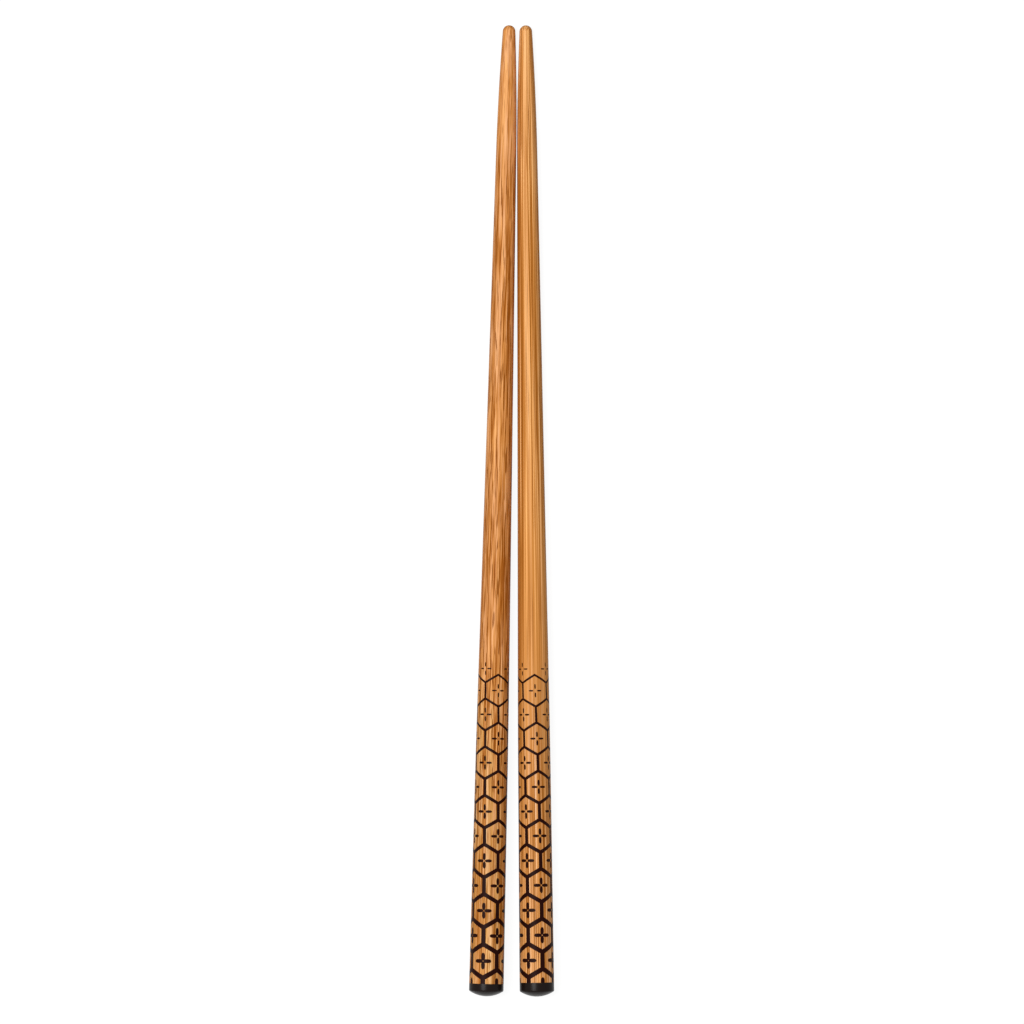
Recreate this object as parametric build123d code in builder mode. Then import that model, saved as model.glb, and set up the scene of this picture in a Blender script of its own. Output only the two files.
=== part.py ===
from build123d import *
import os
from math import atan, atan2, cos, sin

# A pair of round chopsticks, each turned from one length of bamboo. They lie side by side on a
# table, butts towards -Y and tips together towards +Y, alike on both sides of the YZ plane.
# All sizes are in millimetres.

# One stick: a domed butt, a slow taper over the grip, a quicker one over the shank, a tip that
# curves in and a ball nose
length = 225.0
butt_diameter = 8.0
crown_height = 1.25        # of the butt's domed end, over its edge
edge_radius = 0.4          # between the dome and the grip
grip_length = 59.0         # from the edge of the butt to where the two tapers meet
knee_diameter = 7.45       # where the two tapers meet
blend_length = 20.0        # of the curve that eases one taper into the other
neck_diameter = 4.74       # where the shank runs into the tip
tip_length = 30.0          # from the neck to the end of the nose
nose_diameter = 2.96

# The two sticks together
butt_gap = 3.7             # between the edges of the two butts
touch_clearance = 0.1      # where the sticks come closest

os.makedirs("parts", exist_ok=True)

# The outline's own points, as radius and distance from the edge of the butt
nose_radius = nose_diameter / 2
nose_end = length - crown_height
nose_centre = Vector(0, nose_end - nose_radius)
butt_edge = Vector(butt_diameter / 2, 0)
knee = Vector(knee_diameter / 2, grip_length)
neck = Vector(neck_diameter / 2, nose_end - tip_length)
along_grip = (knee - butt_edge).normalized()
along_shank = (neck - knee).normalized()

# The tip is one arc, which leaves the shank smoothly at the neck and runs smoothly on to the nose
inward = along_shank.rotate(Axis.Z, 90)
from_nose = neck - nose_centre
tip_radius = (nose_radius**2 - from_nose.length**2) / (2 * (inward.dot(from_nose) + nose_radius))
tip_centre = neck + inward * tip_radius
nose_start = tip_centre + (nose_centre - tip_centre) * (tip_radius / (tip_radius - nose_radius))

# The turned stick, on its own axis
with BuildPart() as turned_stick:
    with BuildSketch(Plane.XZ) as outline:
        with BuildLine():
            crown = TangentArc((0, -crown_height), butt_edge, tangent=(1, 0))
            grip = Line(butt_edge, knee - along_grip * blend_length / 2)
            shank = Line(knee + along_shank * blend_length / 2, neck)
            blend = TangentArc(grip @ 1, shank @ 0, tangent=along_grip)
            tip = TangentArc(neck, nose_start, tangent=along_shank)
            nose = TangentArc(nose_start, (0, nose_end), tangent=tip % 1)
            Line(nose @ 1, crown @ 0)
        make_face()
        fillet(outline.vertices().sort_by(Axis.X)[-1], radius=edge_radius)
    revolve(axis=Axis.Z)

# Points along the side, from the butt to the nose
side = Wire([grip, blend, shank, tip])
side_steps = 600
side_points = [side @ (step / side_steps) for step in range(side_steps + 1)]

# Each stick leans towards the other until their sides all but touch
half_spread = (butt_diameter + butt_gap) / 2
reach = half_spread - touch_clearance / 2
lean = atan(min((reach - point.X) / point.Y for point in side_points[1:]))

# It lies on the point of its side that is under its centre of mass, so its axis dips to the nose
balance = turned_stick.part.center(CenterOf.MASS).Z
resting_step = min(range(side_steps), key=lambda step: abs(side_points[step].Y - balance))
resting_point = side_points[resting_step]
along_table = side % (resting_step / side_steps)
dip = atan2(-along_table.X, along_table.Y)
butt_height = resting_point.Y * sin(dip) + resting_point.X * cos(dip)

for name, hand in (("left_chopstick", -1), ("right_chopstick", 1)):
    stick_axis = Vector(-hand * sin(lean) * cos(dip), cos(lean) * cos(dip), -sin(dip))
    butt_centre = (hand * half_spread, (crown_height - length / 2) * stick_axis.Y, butt_height)
    across = Vector(cos(lean), hand * sin(lean), 0)
    with BuildPart(Plane(butt_centre, x_dir=across, z_dir=stick_axis)) as chopstick:
        add(turned_stick.part)
    chopstick.part.label = name
    export_step(chopstick.part, f"parts/{name}.step")
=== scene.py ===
from math import atan, atan2, cos, degrees, exp, pi, radians, sin, sqrt, tan

import bpy
from mathutils import Euler, Matrix, Vector


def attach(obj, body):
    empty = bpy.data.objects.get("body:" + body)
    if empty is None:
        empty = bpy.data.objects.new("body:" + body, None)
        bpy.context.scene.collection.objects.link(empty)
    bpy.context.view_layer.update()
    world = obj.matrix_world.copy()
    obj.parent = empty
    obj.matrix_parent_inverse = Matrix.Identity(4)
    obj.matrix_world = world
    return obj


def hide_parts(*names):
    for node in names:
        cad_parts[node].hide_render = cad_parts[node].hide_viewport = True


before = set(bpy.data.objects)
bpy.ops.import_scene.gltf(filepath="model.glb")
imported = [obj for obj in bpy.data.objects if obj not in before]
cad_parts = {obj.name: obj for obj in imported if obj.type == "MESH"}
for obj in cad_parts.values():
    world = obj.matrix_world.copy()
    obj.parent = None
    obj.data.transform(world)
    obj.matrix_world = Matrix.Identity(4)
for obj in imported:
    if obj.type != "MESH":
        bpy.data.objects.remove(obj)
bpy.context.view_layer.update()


# The pair of chopsticks: each is one length of steamed bamboo, turned round on a lathe, with a domed butt,
# two tapers and a ball nose. The grip is printed with hexagons and flowers, the butt is dipped in black
# lacquer, and clear satin lacquer covers the whole. They lie loose, side by side on the table.
mm = 0.001
stick_length = 225.0 * mm
butt_radius = 4.0 * mm
crown_height = 1.25 * mm
edge_radius = 0.4 * mm
grip_length = 59.0 * mm
knee_radius = 3.725 * mm
blend_length = 20.0 * mm
neck_radius = 2.37 * mm
tip_length = 30.0 * mm
nose_radius = 1.48 * mm
butt_gap = 3.7 * mm
touch_clearance = 0.1 * mm

# How finely the skin is cut, and how far it stays inside the solid
facets_round = 128
side_step = 1.0 * mm
dome_steps, edge_steps, blend_steps, tip_steps, nose_steps = 10, 6, 20, 30, 12
skin_inset = 0.012 * mm


def angle_of(point, centre):
    return atan2(point.y - centre.y, point.x - centre.x)


def arc_points(centre, radius, start, end, steps):
    """Points on an arc, each as the stick's radius and the distance from the butt's edge."""
    first, last = angle_of(start, centre), angle_of(end, centre)
    turns = [first + (last - first) * step / steps for step in range(steps + 1)]
    return [centre + radius * Vector((cos(turn), sin(turn))) for turn in turns]


def straight_points(start, end):
    """Points on a straight line, given like those of an arc."""
    steps = max(1, round((end - start).length / side_step))
    return [start.lerp(end, step / steps) for step in range(steps + 1)]


# The turned outline, from the middle of the dome to the end of the nose
nose_end = stick_length - crown_height
nose_centre = Vector((0, nose_end - nose_radius))
nose_point = Vector((0, nose_end))
dome_middle = Vector((0, -crown_height))
butt_edge = Vector((butt_radius, 0))
knee = Vector((knee_radius, grip_length))
neck = Vector((neck_radius, nose_end - tip_length))
along_grip = (knee - butt_edge).normalized()
along_shank = (neck - knee).normalized()

# The dome, and the small arc that eases it into the grip
crown_radius = (butt_radius**2 + crown_height**2) / (2 * crown_height)
crown_centre = Vector((0, crown_radius - crown_height))
into_grip = Vector((-along_grip.y, along_grip.x))
edge_line = butt_edge + into_grip * edge_radius
to_line = edge_line - crown_centre
slide = -to_line.dot(along_grip) + sqrt(
    to_line.dot(along_grip) ** 2 - to_line.length_squared + (crown_radius - edge_radius) ** 2
)
slide = min(slide, -2 * to_line.dot(along_grip) - slide, key=abs)
edge_centre = edge_line + along_grip * slide
crown_end = crown_centre + (edge_centre - crown_centre).normalized() * crown_radius
grip_start = edge_centre - into_grip * edge_radius

# The curve that eases one taper into the other
taper_turn = along_grip.angle(along_shank)
blend_radius = blend_length / 2 / tan(taper_turn / 2)
blend_start = knee - along_grip * blend_length / 2
blend_centre = blend_start + into_grip * blend_radius
blend_end = knee + along_shank * blend_length / 2

# The tip is one arc, which leaves the shank smoothly and runs smoothly on to the nose
into_shank = Vector((-along_shank.y, along_shank.x))
from_nose = neck - nose_centre
tip_radius = (nose_radius**2 - from_nose.length_squared) / (2 * (into_shank.dot(from_nose) + nose_radius))
tip_centre = neck + into_shank * tip_radius
nose_start = tip_centre + (nose_centre - tip_centre) * (tip_radius / (tip_radius - nose_radius))

stretches = [
    arc_points(crown_centre, crown_radius, dome_middle, crown_end, dome_steps),
    arc_points(edge_centre, edge_radius, crown_end, grip_start, edge_steps),
    straight_points(grip_start, blend_start),
    arc_points(blend_centre, blend_radius, blend_start, blend_end, blend_steps),
    straight_points(blend_end, neck),
    arc_points(tip_centre, tip_radius, neck, nose_start, tip_steps),
    arc_points(nose_centre, nose_radius, nose_start, nose_point, nose_steps),
]
outline = stretches[0][:1] + [point for stretch in stretches for point in stretch[1:]]
outline[0].x = outline[-1].x = 0

# How the two lie: leaning together until they all but touch, each on the straight part of its shank
half_spread = butt_radius + butt_gap / 2
reach = half_spread - touch_clearance / 2
lean = atan(min((reach - point.x) / point.y for point in outline if point.y > grip_length))
dip = atan2(knee.x - neck.x, neck.y - knee.y)
butt_height = neck.y * sin(dip) + neck.x * cos(dip)

# The print, in rows of cells: the first row is nearest the tip, and the last is cut by the black lacquer.
# The rows draw together towards the tip, and the columns turn slowly round the stick.
last_row = 13
row_squeeze = 0.0139 * mm
cells_round = 4
front_stretch = 0.082
drift_from = 8.3 * mm


def row_at(from_end, last_row_centre, row_pitch):
    """The row number, in parts of a row, at a distance from the very end of the butt."""
    past = from_end - last_row_centre
    return last_row - (row_pitch - sqrt(row_pitch**2 - 4 * row_squeeze * past)) / (2 * row_squeeze)


def column_at(turn):
    """The column number at an angle round the stick, with the cells wider on the upper side."""
    return cells_round * (turn - front_stretch * sin(turn)) / (2 * pi)


def drift_at(from_end, start, slope, curve):
    """How many columns the print has turned round the stick at a distance from the butt's end."""
    past = (from_end - drift_from) / mm
    return start - (slope * past + curve * past**2)


def fade(distance, start, end, softness):
    """1 between two distances from the butt's end, with soft ends."""
    return 1 / ((1 + exp((start - distance) / softness)) * (1 + exp((distance - end) / softness)))


def band_tone_and_painted_light(bands, turn, from_end):
    """How much lighter or darker the skin is drawn at an angle and a distance from the butt's end: tones of
    the wood, with painted highlight and painted shade.
    """
    softness = 4.0 * mm
    return sum(
        strength
        * exp(-(((degrees(turn) - angle) / half_width) ** 2))
        * fade(from_end, start * mm, end * mm, softness)
        for angle, half_width, start, end, strength in bands
    )


def streak_strength(strengths, from_end):
    """How strong the streaks are at a distance from the butt's end, against 1 elsewhere."""
    softness = 5.0 * mm
    changes = (change * fade(from_end, start * mm, end * mm, softness) for start, end, change in strengths)
    return 1 + sum(changes)


# The map for baking cuts the skin across into strips and lays them one over the other
bake_strips = 3
bake_margin = 0.01
strip_room = 1.02


def chopstick_mesh(name, hand, rows, drift, bands, strengths, grain_narrows):
    """The turned skin, with the print's columns and rows and the place in the wood kept on it."""
    axis = Vector((-hand * sin(lean) * cos(dip), cos(lean) * cos(dip), -sin(dip)))
    across = Vector((cos(lean), hand * sin(lean), 0))
    up = across.cross(axis)
    place = Matrix((across, up, axis)).transposed().to_4x4()
    place.translation = (hand * half_spread, (crown_height - stick_length / 2) * axis.y, butt_height)

    on_skin, in_grain, tones, figures = [], [], [], []
    for ring, point in enumerate(outline):
        at_pole = ring in (0, len(outline) - 1)
        from_end = point.y + crown_height
        radius = 0 if at_pole else point.x - skin_inset
        widening = butt_radius / max(point.x, nose_radius) if grain_narrows and point.y > 0 else 1
        for facet in range(1 if at_pole else facets_round):
            turn = 2 * pi * facet / facets_round - pi
            on_skin.append(Vector((radius * sin(turn), radius * cos(turn), point.y)))
            in_grain.append(Vector((widening * radius * sin(turn), widening * radius * cos(turn), point.y)))
            tones.append(band_tone_and_painted_light(bands, turn, from_end))
            figures.append(streak_strength(strengths, from_end))
    tip = len(on_skin) - 1

    def corner(ring, facet):
        if ring == 0:
            return 0
        if ring == len(outline) - 1:
            return tip
        return 1 + (ring - 1) * facets_round + facet % facets_round

    skin = [0.0]
    for before, after in zip(outline, outline[1:]):
        skin.append(skin[-1] + (after - before).length)
    strip_of = [min(bake_strips - 1, int(bake_strips * run / skin[-1])) for run in skin]
    strip_start = [skin[strip_of.index(strip)] for strip in range(bake_strips)]
    strip_run = strip_room * skin[-1] / bake_strips
    bake_share = 1 - 2 * bake_margin

    faces, prints, bakes = [], [], []
    for ring in range(len(outline) - 1):
        strip = strip_of[ring]
        for facet in range(facets_round):
            corners = [(ring, facet), (ring, facet + 1), (ring + 1, facet + 1), (ring + 1, facet)]
            if ring == 0:
                corners = corners[1:]
            if ring == len(outline) - 2:
                corners = corners[:3]
            faces.append([corner(*at) for at in corners])
            for at_ring, at_facet in corners:
                from_end = outline[at_ring].y + crown_height
                turn = 2 * pi * at_facet / facets_round - pi
                prints.append((column_at(turn) - drift_at(from_end, *drift), row_at(from_end, *rows)))
                along = (skin[at_ring] - strip_start[strip]) / strip_run
                round_it = at_facet / facets_round
                bakes.append((
                    bake_margin + bake_share * along,
                    (strip + bake_margin + bake_share * round_it) / bake_strips,
                ))

    mesh = bpy.data.meshes.new(name)
    mesh.from_pydata([place @ point for point in on_skin], [], faces)
    mesh.polygons.foreach_set("use_smooth", [True] * len(faces))
    for label, values in (("OFBake", bakes), ("Print", prints)):
        layer = mesh.uv_layers.new(name=label)
        layer.data.foreach_set("uv", [number for pair in values for number in pair])
    wood = mesh.attributes.new("wood", "FLOAT_VECTOR", "POINT")
    wood.data.foreach_set("vector", [number / mm for point in in_grain for number in point])
    for label, values in (("tone", tones), ("figure", figures)):
        mesh.attributes.new(label, "FLOAT", "POINT").data.foreach_set("value", values)
    mesh.validate()
    mesh.update()
    return mesh


def calculator(tree):
    """A function that adds one Math node to the tree and returns its result."""
    def calc(operation, *values, clamp=False):
        node = tree.nodes.new("ShaderNodeMath")
        node.operation = operation
        node.use_clamp = clamp
        for socket, value in zip(node.inputs, values):
            if isinstance(value, bpy.types.NodeSocket):
                tree.links.new(value, socket)
            else:
                socket.default_value = value
        return node.outputs[0]
    return calc


def hexagon_print():
    """A node group that gives the ink of the print at a column and a row."""
    tree = bpy.data.node_groups.new("hexagon_print", "ShaderNodeTree")
    for name in ("Column", "Row"):
        tree.interface.new_socket(name, in_out="INPUT", socket_type="NodeSocketFloat")
    tree.interface.new_socket("Ink", in_out="OUTPUT", socket_type="NodeSocketFloat")
    start = tree.nodes.new("NodeGroupInput")
    end = tree.nodes.new("NodeGroupOutput")
    calc = calculator(tree)
    column, row = start.outputs["Column"], start.outputs["Row"]

    # The nearest cell centre, of the even rows and of the odd rows, which stand half a column over
    row_height = sqrt(3) / 2
    even_row = calc("MULTIPLY", calc("ROUND", calc("MULTIPLY", row, 0.5)), 2)
    odd_row = calc("ADD", calc("MULTIPLY", calc("ROUND", calc("MULTIPLY_ADD", row, 0.5, -0.5)), 2), 1)
    even_x = calc("SUBTRACT", column, calc("ROUND", column))
    odd_x = calc("SUBTRACT", column, calc("ADD", calc("ROUND", calc("SUBTRACT", column, 0.5)), 0.5))
    even_y = calc("MULTIPLY", calc("SUBTRACT", row, even_row), row_height)
    odd_y = calc("MULTIPLY", calc("SUBTRACT", row, odd_row), row_height)
    even_far = calc("MULTIPLY_ADD", even_x, even_x, calc("MULTIPLY", even_y, even_y))
    odd_far = calc("MULTIPLY_ADD", odd_x, odd_x, calc("MULTIPLY", odd_y, odd_y))
    is_odd = calc("LESS_THAN", odd_far, even_far)

    def pick(even, odd):
        return calc("MULTIPLY_ADD", calc("SUBTRACT", odd, even), is_odd, even)

    x = calc("ABSOLUTE", pick(even_x, odd_x))
    y = pick(even_y, odd_y)
    cell_row = pick(even_row, odd_row)

    def grown(place, first, last):
        """A size that grows from the first row to the last."""
        return calc("MULTIPLY_ADD", calc("DIVIDE", place, last_row, clamp=True), last - first, first)

    # How far the point is from the cell's own sides: the first row has only its lower two
    half_x = calc("MULTIPLY", x, 0.5)
    to_side = calc("SUBTRACT", 0.5, x)
    to_lower = calc("SUBTRACT", 0.5, calc("MULTIPLY_ADD", y, row_height, half_x))
    to_upper = calc("SUBTRACT", 0.5, calc("MULTIPLY_ADD", y, -row_height, half_x))
    above_first = calc("LESS_THAN", cell_row, -0.5)
    is_first = calc("LESS_THAN", cell_row, 0.5)
    to_line = calc("MINIMUM", calc("ADD", calc("MINIMUM", to_side, to_upper), is_first), to_lower)
    to_line = calc("ADD", to_line, above_first)
    half_line = grown(row, 0.037, 0.086)
    line_softness = 0.010
    line = calc("DIVIDE", calc("SUBTRACT", half_line, to_line), line_softness)
    line = calc("ADD", line, 0.5, clamp=True)

    # The flower: four petals round the middle of the cell, fuller towards the butt
    first_row_drop = 0.07
    petal_roundness = 2.6
    petal_sharpness = 2.5
    up_down = calc("ABSOLUTE", calc("MULTIPLY_ADD", is_first, -first_row_drop, y))
    petal_middle = grown(cell_row, 0.155, 0.146)
    petal_reach = grown(cell_row, 0.083, 0.141)
    petal_half = grown(cell_row, 0.025, 0.071)

    def petal(along, beside):
        past_middle = calc("ABSOLUTE", calc("SUBTRACT", along, petal_middle))
        far = calc("POWER", calc("DIVIDE", past_middle, petal_reach), petal_roundness)
        wide = calc("POWER", calc("DIVIDE", beside, petal_half), petal_roundness)
        return calc("ADD", far, wide)

    flower = calc("MINIMUM", petal(x, up_down), petal(up_down, x))
    flower = calc("ADD", calc("MULTIPLY", calc("SUBTRACT", 1, flower), petal_sharpness), 0.5, clamp=True)
    flower = calc("MULTIPLY", flower, calc("SUBTRACT", 1, above_first))
    tree.links.new(calc("MAXIMUM", line, flower), end.inputs["Ink"])
    return tree


printed_cells = hexagon_print()


def lacquered_bamboo(
    name, seed, wood_colours, pale_tint, grain, pore_run, pore_level, warm_share, lacquer_start
):
    """Bamboo fibre under the print, the black dip and the clear satin coat."""
    material = bpy.data.materials.new(name)
    material.use_nodes = True
    tree = material.node_tree
    calc = calculator(tree)
    link = tree.links.new
    shader = tree.nodes["Principled BSDF"]

    def attribute(label):
        node = tree.nodes.new("ShaderNodeAttribute")
        node.attribute_name = label
        return node

    wood = attribute("wood").outputs["Vector"]

    def fibres(across, along, shift, detail=1):
        """Noise drawn out along the stick, by the width and the length of its streaks in millimetres."""
        mapping = tree.nodes.new("ShaderNodeMapping")
        mapping.inputs["Scale"].default_value = (1 / across, 1 / across, 1 / along)
        mapping.inputs["Location"].default_value = (seed + shift, seed * 1.7 - shift, seed * 0.6 + shift)
        link(wood, mapping.inputs["Vector"])
        noise = tree.nodes.new("ShaderNodeTexNoise")
        noise.inputs["Scale"].default_value = 1
        noise.inputs["Detail"].default_value = detail
        noise.inputs["Roughness"].default_value = 0.55
        link(mapping.outputs["Vector"], noise.inputs["Vector"])
        return noise.outputs["Fac"]

    def mix(share, first, second, blend="MIX"):
        node = tree.nodes.new("ShaderNodeMix")
        node.data_type = "RGBA"
        node.blend_type = blend
        for label, value in (("Factor", share), ("A", first), ("B", second)):
            socket = node.inputs[label]
            if isinstance(value, bpy.types.NodeSocket):
                link(value, socket)
            elif socket.type == "RGBA":
                socket.default_value = (*value, 1)
            else:
                socket.default_value = value
        return node.outputs["Result"]

    def rise(value, low, high):
        """0 at one value and 1 at the other, with a smooth change between them."""
        node = tree.nodes.new("ShaderNodeMapRange")
        node.interpolation_type = "SMOOTHSTEP"
        link(value, node.inputs["Value"])
        node.inputs["From Min"].default_value = low
        node.inputs["From Max"].default_value = high
        return node.outputs["Result"]

    split_wood = tree.nodes.new("ShaderNodeSeparateXYZ")
    link(wood, split_wood.inputs["Vector"])
    from_edge = split_wood.outputs["Z"]

    # Streaks of every tone, from the dark sheaths to the pale pith between them
    tone = 0.0
    for layer, (width, run, strength, detail) in enumerate(grain):
        streaks = fibres(width, run, 9.0 * layer, detail)
        tone = calc("MULTIPLY_ADD", calc("SUBTRACT", streaks, 0.5), strength, tone)
    figure = attribute("figure").outputs["Fac"]
    tone = calc("MULTIPLY_ADD", tone, figure, 0.5)
    # The tone attribute adds the listed bands: tones of the wood, with painted highlight along the lit top
    # and painted shade along the inner side
    tone = calc("ADD", tone, attribute("tone").outputs["Fac"])
    ramp = tree.nodes.new("ShaderNodeValToRGB")
    link(tone, ramp.inputs["Fac"])
    stops = ramp.color_ramp.elements
    while len(stops) < len(wood_colours):
        stops.new(0.5)
    for stop, (position, wood_colour) in zip(stops, wood_colours):
        stop.position = position
        stop.color = (*wood_colour, 1)
    colour = ramp.outputs["Color"]

    # Some streaks are warmer, some are paler towards the butt, and short dark pores lie along the fibres
    warm_tint = (1.0, 0.91, 0.55)
    warm_width, warm_run = 0.8, 3 * pore_run
    warm_from, warm_full = 0.44, 0.60
    warm_streaks = rise(fibres(warm_width, warm_run, shift=57.0), warm_from, warm_full)
    colour = mix(calc("MULTIPLY", warm_streaks, warm_share), colour, warm_tint, "MULTIPLY")
    pale_width, pale_run = 0.5, 40
    pale_from, pale_full = 0.36, 0.60
    pale_near, pale_far = 60, 80
    pale_streaks = rise(fibres(pale_width, pale_run, shift=73.0), pale_from, pale_full)
    near_butt = rise(from_edge, pale_far, pale_near)
    colour = mix(calc("MULTIPLY", pale_streaks, near_butt), colour, pale_tint, "MULTIPLY")
    pore_colour = (0.26, 0.068, 0.004)
    pore_width, pore_softness, pore_strength = 0.26, 0.08, 0.9
    pores = rise(fibres(pore_width, pore_run, shift=41.0), pore_level, pore_level - pore_softness)
    pores = calc("MULTIPLY", calc("MULTIPLY", pores, pore_strength), figure, clamp=True)
    colour = mix(pores, colour, pore_colour)

    # The print lies on the wood, and stops at the black dip
    place = tree.nodes.new("ShaderNodeUVMap")
    place.uv_map = "Print"
    split_print = tree.nodes.new("ShaderNodeSeparateXYZ")
    link(place.outputs["UV"], split_print.inputs["Vector"])
    cells = tree.nodes.new("ShaderNodeGroup")
    cells.node_tree = printed_cells
    link(split_print.outputs["X"], cells.inputs["Column"])
    link(split_print.outputs["Y"], cells.inputs["Row"])
    ink = cells.outputs["Ink"]
    ink_colour = (0.015, 0.002, 0.001)
    colour = mix(ink, colour, ink_colour)

    black_colour = (0.009, 0.005, 0.004)
    lacquer_softness = 0.06
    dipped = rise(from_edge, lacquer_start + lacquer_softness, lacquer_start - lacquer_softness)
    colour = mix(dipped, colour, black_colour)
    link(colour, shader.inputs["Base Color"])

    satin, gloss = 0.45, 0.28
    link(calc("MULTIPLY_ADD", dipped, gloss - satin, satin), shader.inputs["Roughness"])
    satin_shine, gloss_shine = 0.045, 0.085
    shine = calc("MULTIPLY_ADD", dipped, gloss_shine - satin_shine, satin_shine)
    link(shine, shader.inputs["Specular IOR Level"])
    relief, relief_depth, ink_height = 0.12, 0.02 * mm, 0.6
    bump = tree.nodes.new("ShaderNodeBump")
    bump.inputs["Strength"].default_value = relief
    bump.inputs["Distance"].default_value = relief_depth
    link(calc("MULTIPLY_ADD", ink, ink_height, streaks), bump.inputs["Height"])
    link(bump.outputs["Normal"], shader.inputs["Normal"])
    return material


def lay_stick(name, stands_for, hand, bamboo, rows, drift, bands, strengths, grain_narrows):
    """Makes one stick and lays it on its side of the pair."""
    mesh = chopstick_mesh(name, hand, rows, drift, bands, strengths, grain_narrows)
    mesh.materials.append(bamboo)
    stick = bpy.data.objects.new(name, mesh)
    bpy.context.scene.collection.objects.link(stick)
    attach(stick, "root")
    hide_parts(stands_for)


# The left stick: one length of red-brown bamboo with a flamed grain of short streaks. It is turned, printed,
# dipped and lacquered like the other, and lies loose beside it.

# Tones of the wood, from the darkest streaks to the lightest
red_bamboo = (
    (0.15, (0.28, 0.071, 0.004)),
    (0.30, (0.42, 0.135, 0.020)),
    (0.42, (0.56, 0.214, 0.052)),
    (0.52, (0.65, 0.273, 0.084)),
    (0.62, (0.73, 0.327, 0.124)),
    (0.78, (0.80, 0.385, 0.165)),
    (0.90, (0.90, 0.455, 0.198)),
)

# Streaks by their width and length in millimetres, their strength and their fine detail
flamed_grain = ((0.9, 18, 0.7, 1), (0.27, 11, 1.05, 2), (0.16, 30, 1.7, 2))

# Lighter and darker bands by angle, half width, start and end from the butt in millimetres, and strength;
# most are tones of the wood, some are painted highlight along the lit top and painted shade along the inner
# side
left_bands_with_painted_light = (
    # partly painted highlight: these two lighter bands just left of the top lie where the soft box shines,
    # over lighter wood
    (-14, 16, 188, 225, 0.22),
    (-14, 16, 138, 188, 0.05),
    (-46, 9, 188, 225, -0.12),
    (0, 6, 188, 225, 0.12),
    (-36, 8, 188, 225, -0.08),
    (10, 4, 196, 216, -0.20),
    (30, 5, 198, 223, -0.24),
    (30, 14, 45, 188, -0.12),
    (32, 9, 152, 172, -0.25),
    (-40, 10, 140, 190, -0.22),
    (14, 7, 138, 190, -0.10),
    (46, 9, 138, 190, 0.08),
    (18, 7, 82, 106, -0.18),
    # painted shade: the inner side, shaded by the other stick, drawn darker
    (62, 16, 0, 188, -0.12),
    (0, 90, 0, 72, -0.02),
    (37, 8, 82, 108, -0.22),
    (0, 90, 110, 190, 0.10),
    (0, 90, 192, 225, 0.14),
)

# Where the streaks are stronger or weaker, by start and end from the butt in millimetres, and the change
left_strengths = ((0, 55, -0.05), (58, 75, 0.45), (195, 225, -0.50))

left_bamboo = lacquered_bamboo(
    "left_stick_bamboo",
    seed=5.3,
    wood_colours=red_bamboo,
    pale_tint=(0.97, 1.15, 1.22),
    grain=flamed_grain,
    pore_run=7,
    pore_level=0.44,
    warm_share=0.5,
    lacquer_start=1.68,
)
lay_stick(
    "left_stick",
    "left_chopstick",
    hand=-1,
    bamboo=left_bamboo,
    rows=(2.33 * mm, 5.845 * mm),
    drift=(-0.133, 0.001471, 2.2e-5),
    bands=left_bands_with_painted_light,
    strengths=left_strengths,
    grain_narrows=False,
)


# The right stick: one length of golden bamboo with a straight grain of long, fine streaks, which draw
# together with the taper. It is made like the left one and lies loose beside it; its values mean the same.
golden_bamboo = (
    (0.15, (0.33, 0.102, 0.010)),
    (0.30, (0.46, 0.163, 0.027)),
    (0.42, (0.57, 0.225, 0.050)),
    (0.52, (0.64, 0.274, 0.076)),
    (0.64, (0.77, 0.352, 0.122)),
    (0.80, (0.93, 0.480, 0.187)),
    (0.92, (0.98, 0.550, 0.245)),
)
straight_grain = ((1.1, 110, 1.2, 1), (0.36, 80, 2.1, 2), (0.16, 50, 1.6, 2))
right_bands_with_painted_light = (
    # partly painted highlight: a lighter band just left of the top, where the soft box shines, over lighter
    # wood
    (-7, 9, 128, 225, 0.25),
    (-36, 10, 130, 188, -0.10),
    (-24, 6, 138, 190, 0.12),
    (17, 5, 150, 188, -0.26),
    (27, 5, 118, 185, -0.26),
    # partly painted highlight towards the tip, over lighter wood
    (-13, 7, 188, 225, 0.26),
    (13, 4, 188, 225, 0.18),
    (34, 6, 186, 210, 0.15),
    (4, 4, 188, 214, -0.22),
    (20, 5, 198, 217, -0.24),
    (40, 8, 208, 224, -0.18),
    (44, 9, 186, 205, 0.10),
    (-36, 9, 196, 222, -0.26),
    # painted shade: the inner side, shaded by the other stick, drawn darker over somewhat darker wood
    (-63, 13, 0, 190, -0.32),
    (-46, 8, 80, 190, -0.15),
    # partly painted highlight along the top-left of the shank, over lighter wood
    (-14, 6, 138, 190, 0.15),
    (-4, 6, 80, 138, -0.15),
    (5, 6, 80, 138, 0.12),
    (0, 60, 0, 50, -0.04),
    (0, 90, 192, 225, 0.06),
)
right_strengths = ((58, 110, -0.42), (50, 80, -0.25), (0, 55, 0.08), (195, 225, 0.60))

right_bamboo = lacquered_bamboo(
    "right_stick_bamboo",
    seed=31.7,
    wood_colours=golden_bamboo,
    pale_tint=(1.0, 1.13, 1.62),
    grain=straight_grain,
    pore_run=24,
    pore_level=0.39,
    warm_share=0.35,
    lacquer_start=2.03,
)
lay_stick(
    "right_stick",
    "right_chopstick",
    hand=1,
    bamboo=right_bamboo,
    rows=(2.58 * mm, 5.825 * mm),
    drift=(-0.293, 0, 3.73e-5),
    bands=right_bands_with_painted_light,
    strengths=right_strengths,
    grain_narrows=True,
)


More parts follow.
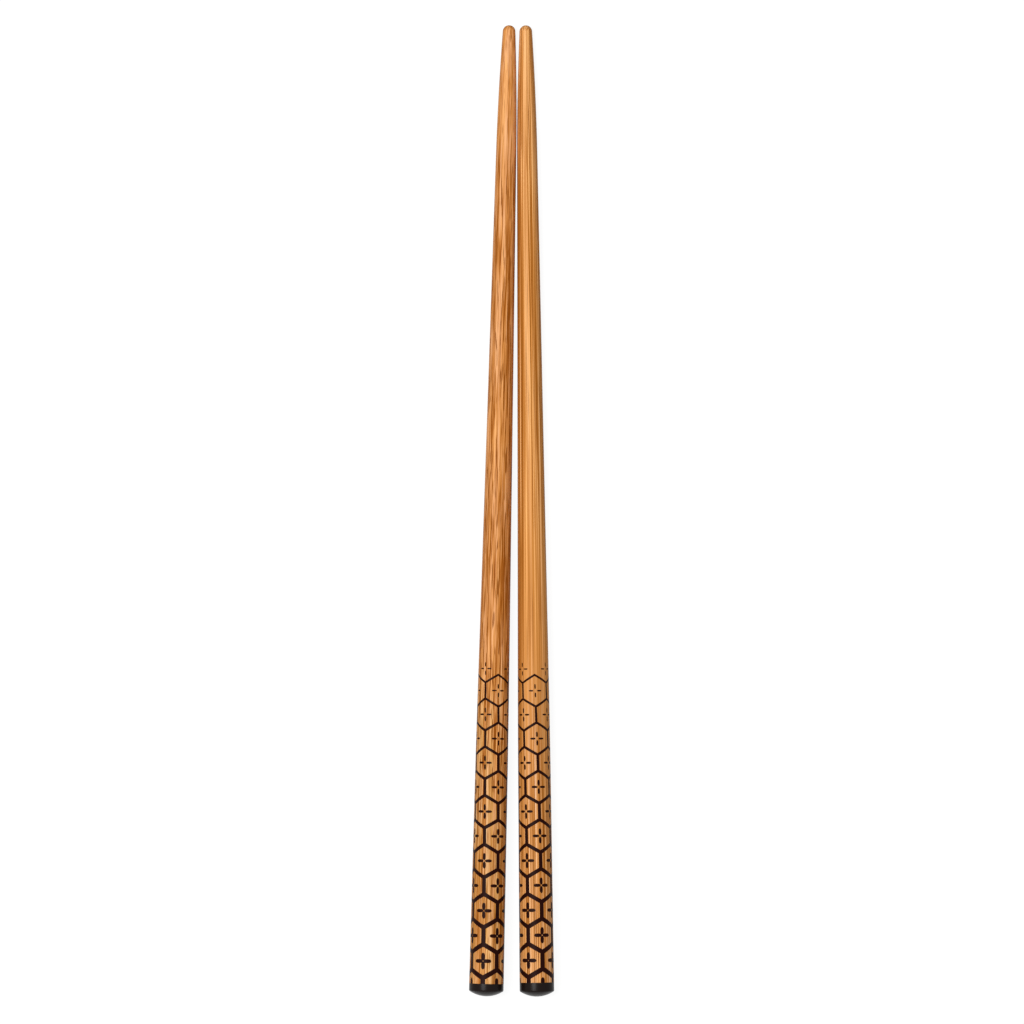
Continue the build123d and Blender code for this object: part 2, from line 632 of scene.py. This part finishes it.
# The table top under the sticks: a plain white sheet, which shows as white and keeps their soft shadow.
# What is seen of it glows almost to white by itself; to all other light it is a dim matt grey.
half_floor = 2.0
dim_grey = (0.15, 0.15, 0.15, 1)
seen_grey = (0.12, 0.12, 0.12, 1)
seen_glow = 0.92
floor_mesh = bpy.data.meshes.new("floor")
floor_corners = [(x * half_floor, y * half_floor, 0) for x, y in ((-1, -1), (1, -1), (1, 1), (-1, 1))]
floor_mesh.from_pydata(floor_corners, [], [(0, 1, 2, 3)])
floor = bpy.data.objects.new("floor", floor_mesh)
bpy.context.scene.collection.objects.link(floor)

white_sheet = bpy.data.materials.new("white_sheet")
white_sheet.use_nodes = True
floor_mesh.materials.append(white_sheet)


def seen_rays(tree):
    """1 on the rays that show a surface to the camera, straight or by a reflection or through glass."""
    calc = calculator(tree)
    path = tree.nodes.new("ShaderNodeLightPath")
    seen = calc("ADD", path.outputs["Is Camera Ray"], path.outputs["Is Glossy Ray"])
    return calc("ADD", seen, path.outputs["Is Transmission Ray"], clamp=True)


sheet_tree = white_sheet.node_tree
sheet_tree.nodes.remove(sheet_tree.nodes["Principled BSDF"])
plain_sheet = sheet_tree.nodes.new("ShaderNodeBsdfDiffuse")
plain_sheet.inputs["Color"].default_value = dim_grey
shaded_sheet = sheet_tree.nodes.new("ShaderNodeBsdfDiffuse")
shaded_sheet.inputs["Color"].default_value = seen_grey
bright_sheet = sheet_tree.nodes.new("ShaderNodeEmission")
bright_sheet.inputs["Strength"].default_value = seen_glow
shown_sheet = sheet_tree.nodes.new("ShaderNodeAddShader")
sheet_tree.links.new(shaded_sheet.outputs[0], shown_sheet.inputs[0])
sheet_tree.links.new(bright_sheet.outputs[0], shown_sheet.inputs[1])
sheet_mix = sheet_tree.nodes.new("ShaderNodeMixShader")
sheet_tree.links.new(seen_rays(sheet_tree), sheet_mix.inputs[0])
sheet_tree.links.new(plain_sheet.outputs[0], sheet_mix.inputs[1])
sheet_tree.links.new(shown_sheet.outputs[0], sheet_mix.inputs[2])
sheet_tree.links.new(sheet_mix.outputs[0], sheet_tree.nodes["Material Output"].inputs["Surface"])


# The light: a white room all round, and one wide soft box overhead, a little to the left.
room_light = 0.44
world = bpy.data.worlds.new("white_room")
bpy.context.scene.world = world
world.use_nodes = True
room_tree = world.node_tree
room = room_tree.nodes["Background"]
room_strength = calculator(room_tree)("MULTIPLY_ADD", seen_rays(room_tree), 1 - room_light, room_light)
room_tree.links.new(room_strength, room.inputs["Strength"])
room.inputs["Color"].default_value = (1, 1, 1, 1)

soft_box = bpy.data.lights.new("soft_box", "AREA")
soft_box.shape = "DISK"
soft_box.size = 1.0
soft_box.energy = 28
lamp = bpy.data.objects.new("soft_box", soft_box)
lamp.location = (-0.65, 0.1, 1.8)
lamp.rotation_euler = (Vector((0, 0, 0)) - lamp.location).to_track_quat("-Z", "Y").to_euler()
lamp.visible_camera = False
bpy.context.scene.collection.objects.link(lamp)


# The camera: high over the table with a long lens, almost straight above the sticks.
view_width = 236.85 * mm
camera_distance = 1.6
camera_height = radians(88)
camera_roll = radians(0.35)
look_at = Vector((-0.58 * mm, -0.65 * mm, 4 * mm))
camera = bpy.data.cameras.new("camera")
camera.sensor_width = 36
camera.lens = camera.sensor_width * camera_distance / view_width
camera.clip_end = 20
viewer = bpy.data.objects.new("camera", camera)
viewer.location = look_at + camera_distance * Vector((0, -cos(camera_height), sin(camera_height)))
tilt = Euler((pi / 2 - camera_height, 0, 0)).to_matrix()
roll = Euler((0, 0, camera_roll)).to_matrix()
viewer.rotation_euler = (tilt @ roll).to_euler()
bpy.context.scene.collection.objects.link(viewer)
bpy.context.scene.camera = viewer
bpy.context.scene.view_settings.view_transform = "Standard"
